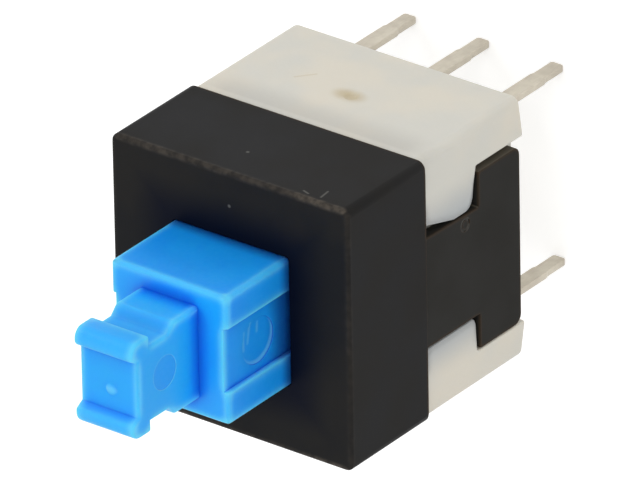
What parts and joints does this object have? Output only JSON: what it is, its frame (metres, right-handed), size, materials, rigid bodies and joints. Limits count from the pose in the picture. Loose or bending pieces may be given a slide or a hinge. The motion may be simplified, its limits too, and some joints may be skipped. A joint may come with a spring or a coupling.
{
  "type": "latching push button switch",
  "caption": "Square through-hole push button switch that locks in when pressed, with a black clipped-on cover, an ivory base, a blue stem with a T-shaped cap tip and flat tinned pins.",
  "frame": {"origin": "centre of the base's seating face, midway between the two rows of pins", "axes": "+Z along the button, out of the case; X along the rows of pins and through the two snap arms; Y across the rows"},
  "size_m": [0.008, 0.008, 0.0173],
  "materials": {
    "cover_plastic": "fine matt moulded black",
    "base_plastic": "satin ivory nylon",
    "plunger_plastic": "satin blue moulded acetal",
    "spring_wire": "drawn spring wire",
    "contact_strip": "rolled bronze strip",
    "tinned_strip": "dull tin plate on brass strip"
  },
  "bodies": {
    "case": {"cover": "cover_plastic", "base": "base_plastic", "return_spring": "spring_wire", "terminal_a_common": "tinned_strip", "terminal_a_closed": "tinned_strip", "terminal_a_open": "tinned_strip", "terminal_b_common": "tinned_strip", "terminal_b_closed": "tinned_strip", "terminal_b_open": "tinned_strip"},
    "plunger": {"plunger": "plunger_plastic", "slide_contact_a": "contact_strip", "slide_contact_b": "contact_strip"},
    "lock_pin": {"lock_pin": "spring_wire"}
  },
  "joints": [
    {"name": "press", "type": "slide", "parent": "case", "child": "plunger", "axis": [0, 0, -1], "range_m": [0, 0.0022], "stiffness_N_per_m": 500, "deforming": ["return_spring"]},
    {"name": "lock_pin_swing", "type": "hinge", "parent": "case", "child": "lock_pin", "pos_m": [0.003, 0, 0.0016], "axis": [1, 0, 0], "range_deg": [0, 20.5]}
  ],
  "couplings": [
    {"joint": "lock_pin_swing", "follows": "press", "rad_per_m": 161.48}
  ]
}
